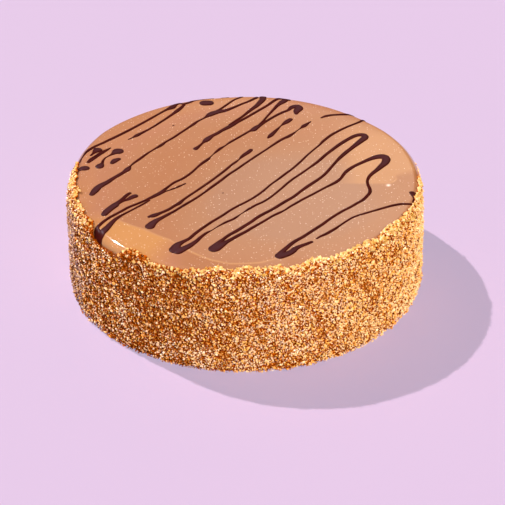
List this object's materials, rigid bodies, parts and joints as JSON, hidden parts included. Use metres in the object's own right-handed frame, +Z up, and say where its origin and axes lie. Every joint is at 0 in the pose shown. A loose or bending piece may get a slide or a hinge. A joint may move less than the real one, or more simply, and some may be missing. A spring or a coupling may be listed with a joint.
{
  "type": "coffee caramel cake",
  "caption": "Whole round layer cake with a crumb-coated side, a glossy caramel glaze with a rounded edge, and chocolate drizzled across the top.",
  "frame": {"origin": "middle of the flat base", "axes": "+Z up through the middle of the cake; the side that faces the viewer is -Y"},
  "size_m": [0.22, 0.22, 0.0687],
  "materials": {
    "crumb_coat": "dry toasted cake crumbs, matte and grainy",
    "caramel_glaze": "smooth poured caramel glaze, very glossy",
    "chocolate_drizzle": "set dark chocolate, glossy"
  },
  "bodies": {
    "root": {"cake": "crumb_coat", "caramel_glaze": "caramel_glaze"}
  },
  "joints": []
}
